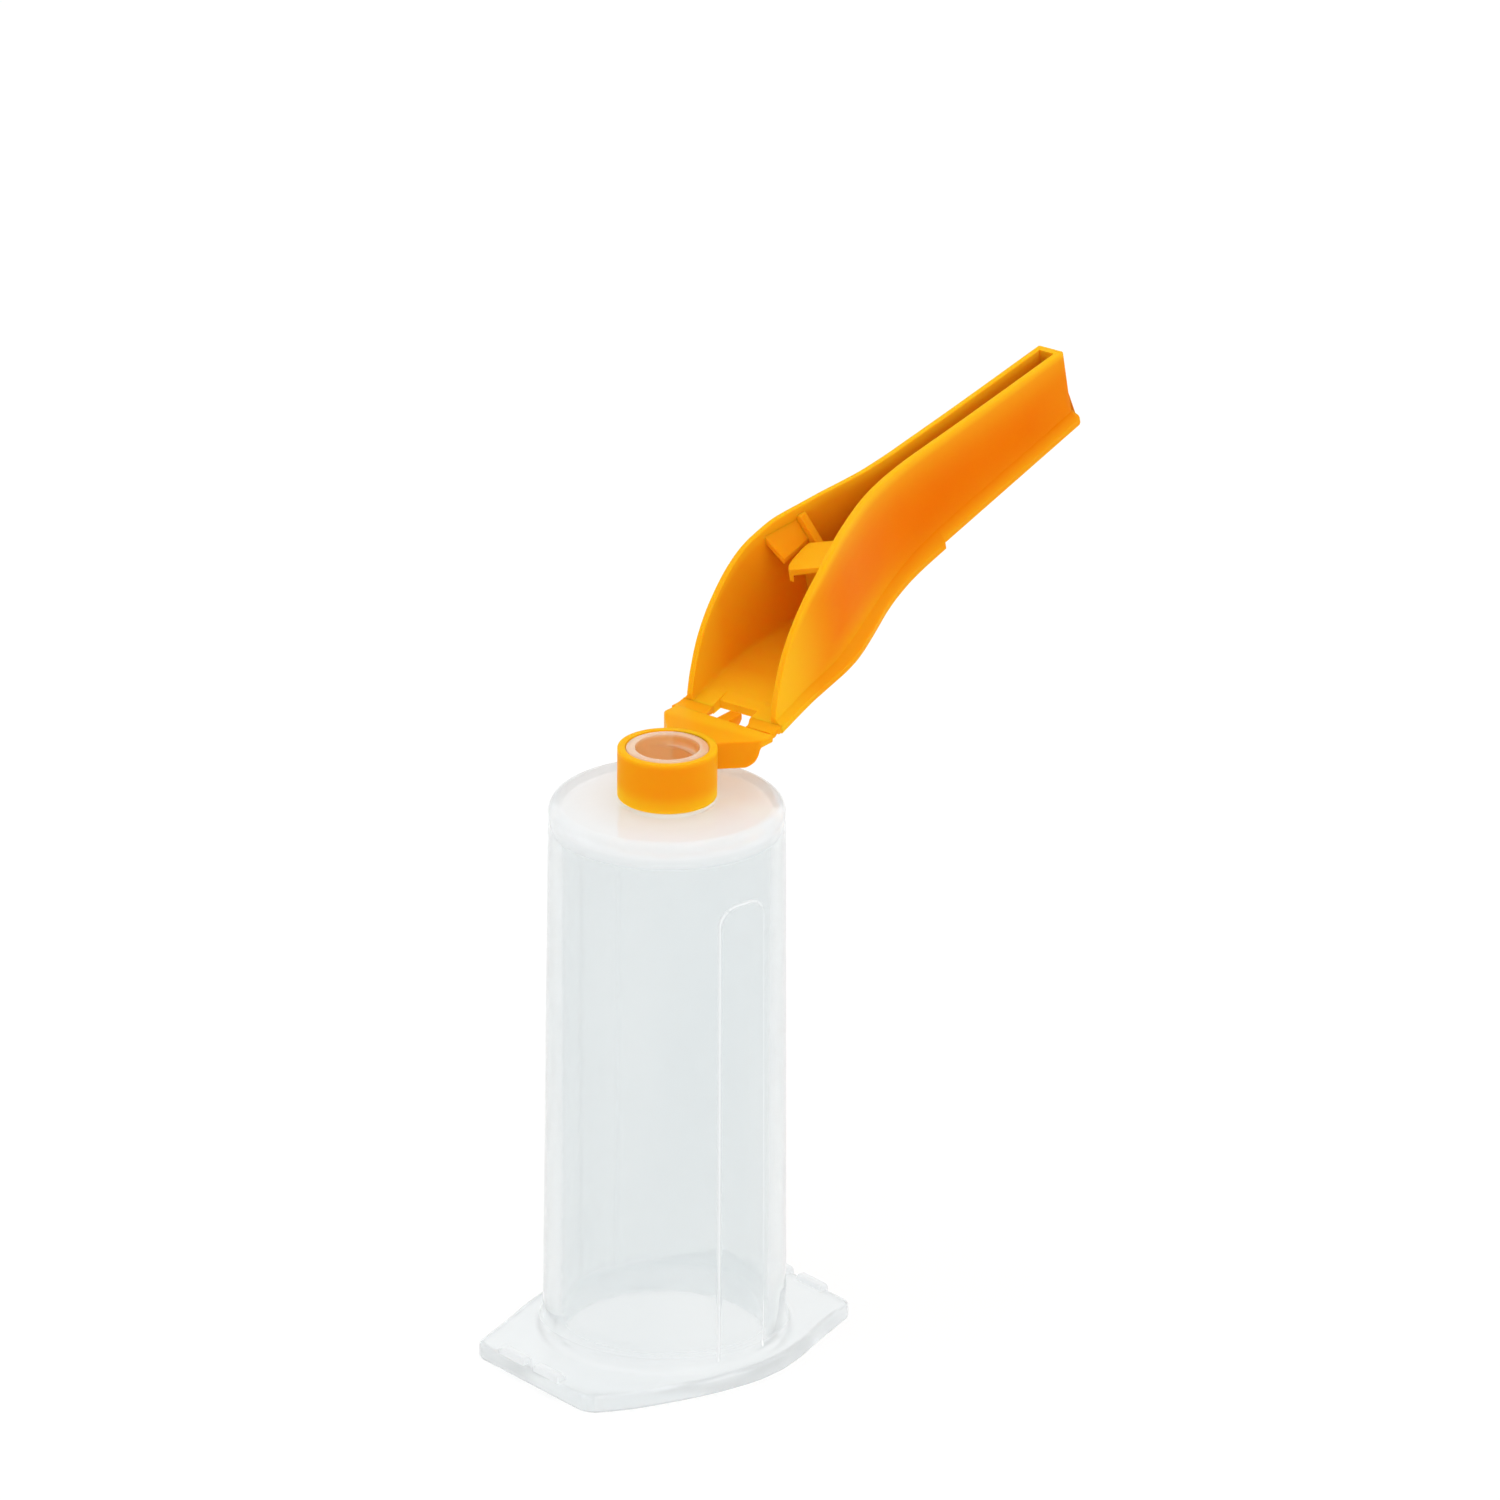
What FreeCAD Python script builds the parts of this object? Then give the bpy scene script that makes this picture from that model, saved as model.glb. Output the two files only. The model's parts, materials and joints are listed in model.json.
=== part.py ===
"""Safety holder for vacuum blood-collection tubes, with a hinged needle shield.

Units are millimetres. +Z is up along the barrel's axis. The origin is on that axis, in
the plane of the finger flange's underside, where the tube goes in. +X points the way the
open shield leans.

The shield's pieces are drawn in the shield's own frame: X runs along the shield from the
hinge axis, Y is the hinge axis, and Z points out of the open side of the channel.
"""
import FreeCAD, Part
import math
import os

import Sketcher

Vector = FreeCAD.Vector
Rotation = FreeCAD.Rotation

# ---------------------------------------------------------------- driving dimensions
DIMENSIONS = [
    # holder
    ("bore_radius", 8.85, "tube bore"),
    ("foot_radius", 10.3, "barrel outside at its open end"),
    ("crown_radius", 9.92, "barrel outside at its closed end"),
    ("barrel_height", 49.4, "flange underside to top face"),
    ("crown_thickness", 1.4, "closed end"),
    ("shoulder_round", 1.03, "rounding of the closed end"),
    ("root_fillet", 0.9, "barrel to flange"),
    ("flange_thickness", 1.6, "finger flange"),
    ("flange_half_length", 14.85, "finger flange, long way"),
    ("flange_turn", -14.0, "flange's long way, turned from +X, in degrees"),
    ("grip_length", 3.2, "grip rib, along the flange's end"),
    ("grip_width", 0.9, "grip rib, across"),
    ("grip_height", 0.55, "grip rib, above the flange"),
    ("grip_gap", 1.3, "between the two ribs of one end"),
    ("panel_height", 0.22, "side panel, proud of the barrel"),
    ("panel_half_angle", 14.5, "side panel, half its width, in degrees"),
    ("panel_top", 43.5, "top of the side panels"),
    ("panel_foot", 2.6, "foot of the side panels"),
    ("panel_round", 1.6, "corner of the side panels"),
    # neck
    ("boss_radius", 3.95, "seat under the collar"),
    ("boss_top", 49.7, "top of that seat"),
    ("socket_radius", 2.4, "needle socket, inside the thread"),
    ("neck_radius", 3.48, "neck outside"),
    ("neck_top", 54.2, "top of the neck"),
    ("bead_middle", 51.6, "middle of the snap bead"),
    ("bead_half", 0.45, "half the snap bead's height"),
    ("bead_proud", 0.16, "snap bead, proud of the neck"),
    # collar
    ("collar_play", 0.05, "running clearance of the collar"),
    ("collar_radius", 4.18, "collar outside"),
    ("collar_foot", 49.76, "lower face of the collar"),
    ("collar_round", 0.5, "lower edge of the collar"),
    ("arm_thickness", 2.4, "arm beside the collar"),
    ("arm_tip_thickness", 0.75, "arm at the hinge"),
    ("arm_width", 10.4, "arm at the hinge"),
    ("arm_start", 2.9, "where the arm leaves the collar"),
    ("arm_start_width", 5.6, "arm beside the collar"),
    ("arm_shoulder", 5.8, "where the arm is at its full width"),
    ("arm_end", 7.65, "hinge edge of the arm"),
    ("stop_width", 1.1, "middle stop tab"),
    ("stop_end", 9.75, "end of the stop tab"),
    ("stop_thickness", 0.9, "stop tab"),
    # hinge
    ("hinge_reach", 8.5, "hinge axis from the barrel's axis"),
    ("hinge_height", 54.0, "hinge axis above the flange underside"),
    ("open_angle", 77.0, "shield from upright, as it stands, in degrees"),
    ("strap_thickness", 0.36, "living hinge"),
    ("strap_inner", 2.2, "living hinge, inner edge from the middle"),
    ("strap_outer", 5.1, "living hinge, outer edge from the middle"),
    ("strap_end", 1.0, "where the living hinge meets the shield"),
    # shield, in its own frame
    ("back_outside", -0.2, "outer face of the shield's back"),
    ("back_inside", 0.6, "inner face of the shield's back"),
    ("back_end", 29.4, "where the back turns into the spine"),
    ("window_depth", 0.7, "cut in the back between the living hinges"),
    ("spine_outside", 0.2, "outer face of the spine"),
    ("spine_inside", 1.0, "inner face of the spine"),
    ("spine_half_width", 1.75, "spine"),
    ("wall_thickness", 0.55, "side wall"),
    ("body_half_width", 4.6, "side walls outside, wide part"),
    ("channel_half_width", 1.28, "side walls outside, narrow part"),
    ("shield_length", 49.6, "hinge axis to the closed end"),
    ("spine_length", 50.1, "hinge axis to the spine's end"),
    ("tip_depth", 7.77, "rim at the closed end"),
    ("end_thickness", 0.8, "end wall"),
    # needle lock, in the shield's frame
    ("lock_face", 15.7, "near face of the notched rib"),
    ("lock_thickness", 0.8, "notched rib"),
    ("lock_top", 10.15, "top of the notched rib"),
    ("notch_bottom", 7.2, "bottom of the needle notch"),
    ("notch_half_top", 2.1, "needle notch, half width at its mouth"),
    ("notch_half_bottom", 0.4, "needle notch, half width at its bottom"),
    ("finger_thickness", 0.5, "guide ramp and catch"),
    ("ramp_near", 12.2, "near end of the guide ramp"),
    ("ramp_tip", 1.6, "tip of the guide ramp from the middle"),
    ("ramp_tip_depth", 8.1, "height of that tip above the back"),
    ("ramp_root_depth", 9.9, "height of the ramp's root"),
    ("catch_near", 11.0, "near end of the catch"),
    ("catch_far", 15.15, "far end of the catch"),
    ("catch_root_near", 3.366, "catch root from the middle, near end"),
    ("catch_root_far", 2.383, "catch root from the middle, far end"),
    ("catch_root_depth", 9.35, "height of the catch's root"),
    ("catch_tip", 1.2, "catch tip, past the middle"),
    ("catch_tip_depth", 8.1, "height of the catch's tip"),
    ("catch_hook", 0.7, "hook under the catch's tip"),
]

doc = FreeCAD.newDocument("tube_holder")
sheet = doc.addObject("Spreadsheet::Sheet", "dims")
for row, (alias, value, note) in enumerate(DIMENSIONS, start=1):
    sheet.set(f"A{row}", note)
    sheet.set(f"B{row}", str(value))
    sheet.setAlias(f"B{row}", alias)
doc.recompute()

SIZE = {alias: float(value) for alias, value, note in DIMENSIONS}
NODES = []


def size(name):
    """The value of one driving dimension, as the sheet holds it."""
    return float(sheet.get(name))


def bind(target, prop, expression):
    """Bind a property to an expression in which $name is a cell of the sheet."""
    target.setExpression(prop, expression.replace("$", "dims."))


def node(target, label):
    """Give a sub-part its name and put it on the list of those to be written."""
    target.Label = label
    NODES.append(target)
    return target


def on_shield(target):
    """Place a piece that was drawn in the shield's frame at the opened shield."""
    target.Placement = FreeCAD.Placement(Vector(0, 0, 0), Rotation(Vector(0, 1, 0), 1.0))
    bind(target, "Placement.Base.x", "$hinge_reach")
    bind(target, "Placement.Base.z", "$hinge_height")
    bind(target, "Placement.Rotation.Angle", "90 - $open_angle")
    target.Placement.Rotation.Axis = Vector(0, -1, 0)
    return target


def on_flange(target):
    """Turn a piece that was drawn square to the flange to where the flange points."""
    target.Placement = FreeCAD.Placement(Vector(0, 0, 0), Rotation(Vector(0, 0, 1), 1.0))
    bind(target, "Placement.Rotation.Angle", "$flange_turn")
    return target


# ---------------------------------------------------------------- building blocks
def plane(body, role):
    """One of a body's own origin planes."""
    return next(item for item in body.Origin.OriginFeatures if item.Role == role)


def new_sketch(body, role, name):
    sketch = body.newObject("Sketcher::SketchObject", name)
    sketch.AttachmentSupport = [(plane(body, role), "")]
    sketch.MapMode = "FlatFace"
    return sketch


def bound_polygon(sketch, corners):
    """Draw a closed polygon whose corners are pairs of expressions in the sheet's names."""
    probe = []
    for across, up in corners:
        pair = [eval_size(across), eval_size(up)]
        probe.append(Vector(pair[0], pair[1], 0))
    count = len(corners)
    for i in range(count):
        sketch.addGeometry(Part.LineSegment(probe[i], probe[(i + 1) % count]), False)
    for i in range(count):
        sketch.addConstraint(Sketcher.Constraint("Coincident", i, 2, (i + 1) % count, 1))
    for i, (across, up) in enumerate(corners):
        for kind, text, value in (("DistanceX", across, probe[i].x), ("DistanceY", up, probe[i].y)):
            if abs(value) < 1e-9:
                axis = -2 if kind == "DistanceX" else -1
                sketch.addConstraint(Sketcher.Constraint("PointOnObject", i, 1, axis))
                continue
            index = sketch.addConstraint(Sketcher.Constraint(kind, -1, 1, i, 1, value))
            bind(sketch, f"Constraints[{index}]", text)


def eval_size(text):
    """The number that an expression of sheet names, numbers, + and - stands for."""
    total = 0.0
    for term in text.replace("-", "+-").replace(" ", "").split("+"):
        if not term:
            continue
        sign = -1.0 if term.startswith("-") else 1.0
        total += sign * product(term.lstrip("-"))
    return total


def product(term):
    value = 1.0
    for factor in term.split("*"):
        value *= SIZE[factor[1:]] if factor.startswith("$") else float(factor)
    return value


def revolved(label, corners):
    """A body turned about Z from a polygon of (radius, height) expressions."""
    body = doc.addObject("PartDesign::Body", label)
    sketch = new_sketch(body, "XZ_Plane", label + "_profile")
    bound_polygon(sketch, corners)
    turn = body.newObject("PartDesign::Revolution", label + "_turn")
    turn.Profile = sketch
    turn.ReferenceAxis = (sketch, ["V_Axis"])
    turn.Angle = 360.0
    doc.recompute()
    return body


def circles_at(shape, radius, height):
    """Names of the circular edges of one radius at one height."""
    names = []
    for i, edge in enumerate(shape.Edges, start=1):
        curve = edge.Curve
        if curve.TypeId != "Part::GeomCircle":
            continue
        if abs(curve.Radius - radius) < 0.02 and abs(curve.Center.z - height) < 0.02:
            names.append(f"Edge{i}")
    return names


def rounded(body, label, radius_name, circle_radius, height):
    """Round one circular edge of a turned body."""
    base = body.Tip
    fillet = body.newObject("PartDesign::Fillet", label)
    names = circles_at(base.Shape, circle_radius, height)
    assert names, label
    fillet.Base = (base, names)
    bind(fillet, "Radius", "$" + radius_name)
    doc.recompute()
    body.Tip = fillet
    return fillet


def padded(label, role, corners, height, both_ways=False):
    """A body padded from a polygon of expressions on one of its origin planes."""
    body = doc.addObject("PartDesign::Body", label)
    sketch = new_sketch(body, role, label + "_outline")
    bound_polygon(sketch, corners)
    pad = body.newObject("PartDesign::Pad", label + "_pad")
    pad.Profile = sketch
    bind(pad, "Length", height)
    pad.SideType = "Symmetric" if both_ways else "One side"
    doc.recompute()
    return body


def outline(label, edges):
    """A closed outline as a face, made of edges that follow on from each other."""
    item = doc.addObject("Part::Feature", label)
    item.Shape = Part.Face(Part.Wire(edges))
    return item


def extrusion(label, face, direction, length, back=None):
    """A face drawn out along a direction, by a length bound to the sheet."""
    item = doc.addObject("Part::Extrusion", label)
    item.Base = face
    item.DirMode = "Custom"
    item.Dir = direction
    bind(item, "LengthFwd", length)
    if back is not None:
        bind(item, "LengthRev", back)
    item.Solid = True
    doc.recompute()
    return item


def boolean(kind, label, base, tool):
    item = doc.addObject("Part::" + kind, label)
    item.Base = base
    item.Tool = tool
    doc.recompute()
    return item


def curve(points):
    """A smooth edge through the points."""
    spline = Part.BSplineCurve()
    spline.interpolate([Vector(*p) for p in points])
    return spline.toShape()


def line(start, end):
    return Part.makeLine(Vector(*start), Vector(*end))


def lines(points):
    """Straight edges from each point to the next."""
    return [line(a, b) for a, b in zip(points, points[1:])]


# ---------------------------------------------------------------- holder
def make_barrel():
    """The drafted tube, from the flange's top to the underside of the closed end."""
    draft = (size("foot_radius") - size("crown_radius")) / size("barrel_height")
    foot = size("foot_radius") - draft * size("flange_thickness")
    crown = size("foot_radius") - draft * (size("barrel_height") - size("crown_thickness"))
    top = "$barrel_height - $crown_thickness"
    body = revolved(
        "barrel",
        [
            ("$bore_radius", "$flange_thickness"),
            (f"{foot + size('root_fillet')}", "$flange_thickness"),
            (f"{foot - draft * size('root_fillet')}", "$flange_thickness + $root_fillet"),
            (f"{crown}", top),
            ("$bore_radius", top),
        ],
    )
    return node(body, "barrel")


def make_top_wall():
    """The closed end with its rounded shoulder and the collar's seat."""
    draft = (size("foot_radius") - size("crown_radius")) / size("barrel_height")
    edge = size("foot_radius") - draft * (size("barrel_height") - size("crown_thickness"))
    bottom = "$barrel_height - $crown_thickness"
    body = revolved(
        "top_wall",
        [
            ("$socket_radius", bottom),
            (f"{edge}", bottom),
            ("$crown_radius", "$barrel_height"),
            ("$boss_radius", "$barrel_height"),
            ("$boss_radius", "$boss_top"),
            ("$socket_radius", "$boss_top"),
        ],
    )
    rounded(body, "top_wall_shoulder", "shoulder_round", size("crown_radius"), size("barrel_height"))
    return node(body, "top_wall")


def make_neck():
    """The neck that the needle screws into, with the bead that keeps the collar on."""
    bead = "$neck_radius + $bead_proud"
    body = revolved(
        "threaded_neck",
        [
            ("$socket_radius", "$boss_top"),
            ("$neck_radius", "$boss_top"),
            ("$neck_radius", "$bead_middle - $bead_half"),
            (bead, "$bead_middle"),
            ("$neck_radius", "$bead_middle + $bead_half"),
            ("$neck_radius", "$neck_top"),
            ("$socket_radius", "$neck_top"),
        ],
    )
    return node(body, "threaded_neck")


def flange_edges():
    """Outline of the finger flange, the same after half a turn about the barrel."""
    reach = size("flange_half_length")
    side = [(13.9, -7.15), (9.8, -8.9), (6.0, -10.6), (3.1, -11.5), (0.3, -11.8), (-2.7, -11.6),
            (-5.5, -11.1), (-8.6, -10.3), (-11.5, -9.35), (-13.6, -8.3)]
    near = Part.Arc(Vector(reach, -6.1, 0), Vector(14.62, -6.78, 0), Vector(13.9, -7.15, 0))
    far = Part.Arc(Vector(-13.6, -8.3, 0), Vector(-14.55, -7.5, 0), Vector(-reach, -6.4, 0))
    half = [near.toShape(), curve([(x, y, 0) for x, y in side]), far.toShape()]
    half.append(line((-reach, -6.4, 0), (-reach, 6.1, 0)))
    turned = [edge.copy() for edge in half]
    for edge in turned:
        edge.rotate(Vector(0, 0, 0), Vector(0, 0, 1), 180)
    return half + turned


def make_flange():
    """The finger flange with the mouth of the tube bore."""
    plate = extrusion("flange_plate", outline("flange_outline", flange_edges()), Vector(0, 0, 1),
                      "$flange_thickness")
    hole = doc.addObject("Part::Cylinder", "flange_bore")
    bind(hole, "Radius", "$bore_radius")
    bind(hole, "Height", "$flange_thickness")
    return node(on_flange(boolean("Cut", "finger_flange", plate, hole)), "finger_flange")


def make_grip_ribs():
    """Two low ribs across each end of the flange, so that fingers don't slip."""
    for name, end, side in (("right_front", 1, 1), ("right_back", 1, -1),
                            ("left_front", -1, 1), ("left_back", -1, -1)):
        rib = doc.addObject("Part::Box", "grip_block_" + name)
        bind(rib, "Length", "$grip_width")
        bind(rib, "Width", "$grip_length")
        bind(rib, "Height", "$grip_height")
        holder = doc.addObject("Part::Compound", "grip_rib_" + name)
        along = "$flange_half_length - $grip_width" if end > 0 else "-$flange_half_length"
        across = "$grip_gap / 2" if side > 0 else "-$grip_gap / 2 - $grip_length"
        bind(rib, "Placement.Base.x", along)
        bind(rib, "Placement.Base.y", across)
        bind(rib, "Placement.Base.z", "$flange_thickness")
        holder.Links = [rib]
        node(on_flange(holder), "grip_rib_" + name)


def make_panels():
    """Low panels with rounded top corners on the two broad sides of the barrel."""
    half = size("foot_radius") * math.sin(math.radians(size("panel_half_angle")))
    turn, low, high = size("panel_round"), size("panel_foot"), size("panel_top")
    lean = turn * (1 - math.sqrt(0.5))
    for name, facing in (("front", -1), ("back", 1)):
        reach = 2 * size("foot_radius") * facing
        edges = lines([(-half, 0, high - turn), (-half, 0, low), (half, 0, low), (half, 0, high - turn)])
        edges.append(Part.Arc(Vector(half, 0, high - turn), Vector(half - lean, 0, high - lean),
                              Vector(half - turn, 0, high)).toShape())
        edges.append(line((half - turn, 0, high), (-half + turn, 0, high)))
        edges.append(Part.Arc(Vector(-half + turn, 0, high), Vector(-half + lean, 0, high - lean),
                              Vector(-half, 0, high - turn)).toShape())
        block = extrusion(f"panel_{name}_block", outline(f"panel_{name}_outline", edges),
                          Vector(0, math.copysign(1, reach), 0), "2 * $foot_radius")
        skins = []
        for layer, proud in (("outer", "$panel_height"), ("inner", "0")):
            cone = doc.addObject("Part::Cone", f"panel_{name}_{layer}")
            bind(cone, "Radius1", f"$foot_radius + {proud}")
            bind(cone, "Radius2", f"$crown_radius + {proud}")
            bind(cone, "Height", "$barrel_height")
            skins.append(cone)
        shell = boolean("Cut", f"panel_{name}_shell", skins[0], skins[1])
        piece = boolean("Common", f"barrel_panel_{name}", block, shell)
        node(on_flange(piece), f"barrel_panel_{name}")


# ---------------------------------------------------------------- collar and arm
def make_collar():
    """The ring that turns on the neck, grooved for the neck's bead."""
    inner = "$neck_radius + $collar_play"
    groove = "$neck_radius + $collar_play + $bead_proud"
    body = revolved(
        "collar_ring",
        [
            (inner, "$collar_foot"),
            ("$collar_radius", "$collar_foot"),
            ("$collar_radius", "$neck_top"),
            (inner, "$neck_top"),
            (inner, "$bead_middle + $bead_half + $collar_play"),
            (groove, "$bead_middle + $collar_play"),
            (groove, "$bead_middle - $collar_play"),
            (inner, "$bead_middle - $bead_half - $collar_play"),
        ],
    )
    rounded(body, "collar_lower_edge", "collar_round", size("collar_radius"), size("collar_foot"))
    return node(body, "collar_ring")


def make_arm():
    """The arm that widens from the collar, thinning to a plate at the hinge."""
    flare = padded(
        "arm_plan",
        "XY_Plane",
        [
            ("$arm_start - 1", "-0.5 * $arm_start_width"),
            ("$arm_start", "-0.5 * $arm_start_width"),
            ("$arm_shoulder", "-0.5 * $arm_width"),
            ("$arm_end", "-0.5 * $arm_width"),
            ("$arm_end", "0.5 * $arm_width"),
            ("$arm_shoulder", "0.5 * $arm_width"),
            ("$arm_start", "0.5 * $arm_start_width"),
            ("$arm_start - 1", "0.5 * $arm_start_width"),
        ],
        "$neck_top",
    )
    top, thick, thin = size("neck_top"), size("arm_thickness"), size("arm_tip_thickness")
    turn = thick - thin
    bend = size("arm_shoulder") + 0.3
    side = lines([(bend, 0, top - thin), (size("arm_end"), 0, top - thin), (size("arm_end"), 0, top),
                  (0, 0, top), (0, 0, top - thick), (bend - turn, 0, top - thick)])
    middle = Vector(bend - turn + turn * math.sqrt(0.5), 0, top - thin - turn * math.sqrt(0.5))
    side.append(Part.Arc(Vector(bend - turn, 0, top - thick), middle, Vector(bend, 0, top - thin)).toShape())
    slab = extrusion("arm_side", outline("arm_side_outline", side), Vector(0, 1, 0), "$arm_width",
                     back="$arm_width")
    wedge = boolean("Common", "arm_wedge", flare, slab)
    core = doc.addObject("Part::Cylinder", "arm_collar_core")
    bind(core, "Radius", "$collar_radius")
    bind(core, "Height", "$neck_top + 1")
    return node(boolean("Cut", "hinge_arm", wedge, core), "hinge_arm")


def make_stop_tab():
    """The tab between the two living hinges that the back of the shield comes up to."""
    body = padded(
        "stop_tab",
        "XZ_Plane",
        [
            ("$arm_end", "$neck_top - 0.1"),
            ("$arm_end", "$neck_top - 0.1 - $stop_thickness"),
            ("$stop_end - 0.3", "$neck_top - 0.1 - $stop_thickness"),
            ("$stop_end", "$neck_top - 0.4 - 0.5 * $stop_thickness"),
            ("$stop_end", "$neck_top - 0.1"),
        ],
        "$stop_width",
        both_ways=True,
    )
    return node(body, "stop_tab")


def make_straps():
    """The two thin webs that bend as the shield swings."""
    half = size("strap_thickness") / 2
    lean = math.radians(90 - size("open_angle"))
    reach, level = size("hinge_reach"), size("hinge_height")

    def on_web(along, off):
        """A point of the web past the hinge axis, in the object's frame."""
        return (reach + along * math.cos(lean) - off * math.sin(lean), 0,
                level + along * math.sin(lean) + off * math.cos(lean))

    kink = half * math.tan(lean / 2)
    points = [
        (size("arm_end"), 0, level - half),
        (reach + kink, 0, level - half),
        on_web(size("strap_end"), -half),
        on_web(size("strap_end"), half),
        (reach - kink, 0, level + half),
        (size("arm_end"), 0, level + half),
        (size("arm_end"), 0, level - half),
    ]
    for name, side in (("left", 1), ("right", -1)):
        face = outline(f"strap_{name}_outline", lines(points))
        web = extrusion(f"hinge_strap_{name}", face, Vector(0, side, 0), "$strap_outer",
                        back="-$strap_inner")
        node(web, f"hinge_strap_{name}")


# ---------------------------------------------------------------- shield
def wall_line(inset):
    """Plan of a side wall's face: the wide part, the waist and the straight channel."""
    wide = size("body_half_width") - inset
    narrow = size("channel_half_width") - inset
    waist = [(0.3, 1.0), (9.0, 0.945), (12.5, 0.775), (14.4, 0.64), (16.7, 0.458), (19.2, 0.283),
             (21.65, 0.142), (24.4, 0.042), (28.0, 0.0)]
    points = [(x, narrow + share * (wide - narrow), 0) for x, share in waist]
    return points, (size("shield_length"), narrow, 0)


def wall_band(side):
    """Plan of one side wall, as a face."""
    outer, outer_end = wall_line(0)
    inner, inner_end = wall_line(size("wall_thickness"))

    def flip(point):
        return (point[0], side * point[1], 0)

    outer = [flip(p) for p in outer]
    inner = [flip(p) for p in inner]
    return [curve(outer), line(outer[-1], flip(outer_end)), line(flip(outer_end), flip(inner_end)),
            line(flip(inner_end), inner[-1]), curve(inner), line(inner[0], outer[0])]


def cavity_edges():
    """Plan of the hollow between the side walls."""
    inner, end = wall_line(size("wall_thickness"))
    left = [(x, y, 0) for x, y, z in inner]
    right = [(x, -y, 0) for x, y, z in inner]
    return [curve(left), line(left[-1], end), line(end, (end[0], -end[1], 0)),
            line((end[0], -end[1], 0), right[-1]), curve(right), line(right[0], left[0])]


def wall_side_edges():
    """Side view of a side wall: the rim climbs from the hinge and falls away to the tip."""
    floor, deck = size("back_inside"), size("spine_inside")
    length, step = size("shield_length"), size("back_end")
    rim = [(0.65, floor), (1.45, 2.6), (3.1, 5.2), (5.4, 7.4), (8.4, 9.25), (11.5, 10.35), (14.5, 10.8),
           (18.0, 10.75), (24.4, 10.2), (37.0, 8.93), (length, size("tip_depth"))]
    rim = [(x, 0, z) for x, z in rim]
    return [curve(rim)] + lines([rim[-1], (length, 0, deck), (step, 0, deck), (step, 0, floor), rim[0]])


def make_walls():
    for name, side in (("left", 1), ("right", -1)):
        view = extrusion(f"wall_{name}_view", outline(f"wall_{name}_side", wall_side_edges()),
                         Vector(0, 1, 0), "2 * $body_half_width", back="2 * $body_half_width")
        band = extrusion(f"wall_{name}_band", outline(f"wall_{name}_plan", wall_band(side)),
                         Vector(0, 0, 1), "$lock_top + 2")
        wall = boolean("Common", f"shield_wall_{name}", view, band)
        node(on_shield(wall), f"shield_wall_{name}")


def make_back():
    """The shield's broad back, with a narrow lip outside each wall."""
    window, start, end = size("strap_inner"), size("strap_end"), size("back_end")
    inset = start + size("window_depth")
    side = [(9.5, 5.15), (11.4, 5.02), (13.3, 4.66), (15.0, 4.2), (16.8, 3.68), (18.6, 3.14),
            (20.4, 2.69), (22.3, 2.34), (24.2, 2.1), (26.5, 1.98), (end, 1.95)]
    left = [(x, y, 0) for x, y in side]
    right = [(x, -y, 0) for x, y in side]
    edges = [line((start, 5.15, 0), left[0]), curve(left), line(left[-1], right[-1]), curve(right)]
    edges.append(line(right[0], (start, -5.15, 0)))
    edges += lines([(start, -5.15, 0), (start, -window, 0), (inset, -window, 0), (inset, window, 0),
                    (start, window, 0), (start, 5.15, 0)])
    face = outline("back_plan", edges)
    plate = extrusion("shield_back", face, Vector(0, 0, 1), "$back_inside", back="-$back_outside")
    return node(on_shield(plate), "shield_back")


def make_spine():
    """The channel's narrow back, which stands out beside the walls."""
    body = padded(
        "shield_spine",
        "XZ_Plane",
        [
            ("$back_end", "$spine_outside"),
            ("$spine_length", "$spine_outside"),
            ("$spine_length", "$spine_inside"),
            ("$back_end", "$spine_inside"),
        ],
        "2 * $spine_half_width",
        both_ways=True,
    )
    return node(on_shield(body), "shield_spine")


def make_end_wall():
    """The wall that closes the channel's far end."""
    body = padded(
        "shield_end_wall",
        "XZ_Plane",
        [
            ("$shield_length - $end_thickness", "$spine_inside"),
            ("$shield_length", "$spine_inside"),
            ("$shield_length", "$tip_depth"),
            ("$shield_length - $end_thickness", "$tip_depth"),
        ],
        "2 * $channel_half_width - 2 * $wall_thickness",
        both_ways=True,
    )
    return node(on_shield(body), "shield_end_wall")


def cavity_block(label):
    """The hollow between the walls as a solid, to trim what stands in it."""
    return extrusion(label, outline(label + "_plan", cavity_edges()), Vector(0, 0, 1), "$lock_top + 2")


def make_lock_rib():
    """The rib across the channel, with the notch that guides the needle to the middle."""
    body = padded(
        "lock_rib_blank",
        "YZ_Plane",
        [
            ("$body_half_width", "$back_inside"),
            ("$body_half_width", "$lock_top"),
            ("$notch_half_top", "$lock_top"),
            ("$notch_half_bottom", "$notch_bottom"),
            ("-$notch_half_bottom", "$notch_bottom"),
            ("-$notch_half_top", "$lock_top"),
            ("-$body_half_width", "$lock_top"),
            ("-$body_half_width", "$back_inside"),
        ],
        "$lock_thickness",
    )
    bind(body, "Placement.Base.x", "$lock_face")
    rib = boolean("Common", "lock_rib", body, cavity_block("lock_rib_trim"))
    return node(on_shield(rib), "lock_rib")


def make_guide_ramp():
    """The fixed ramp that slants in from the left wall towards the notch."""
    thick = "$finger_thickness"
    body = padded(
        "guide_ramp_blank",
        "YZ_Plane",
        [
            ("$ramp_tip", "$ramp_tip_depth"),
            ("$body_half_width", "$ramp_root_depth + 0.9"),
            ("$body_half_width", f"$ramp_root_depth + 0.9 - 1.4 * {thick}"),
            ("$ramp_tip", f"$ramp_tip_depth - 1.4 * {thick}"),
        ],
        "$lock_face - $ramp_near",
    )
    bind(body, "Placement.Base.x", "$ramp_near")
    ramp = boolean("Common", "guide_ramp", body, cavity_block("guide_ramp_trim"))
    return node(on_shield(ramp), "guide_ramp")


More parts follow.
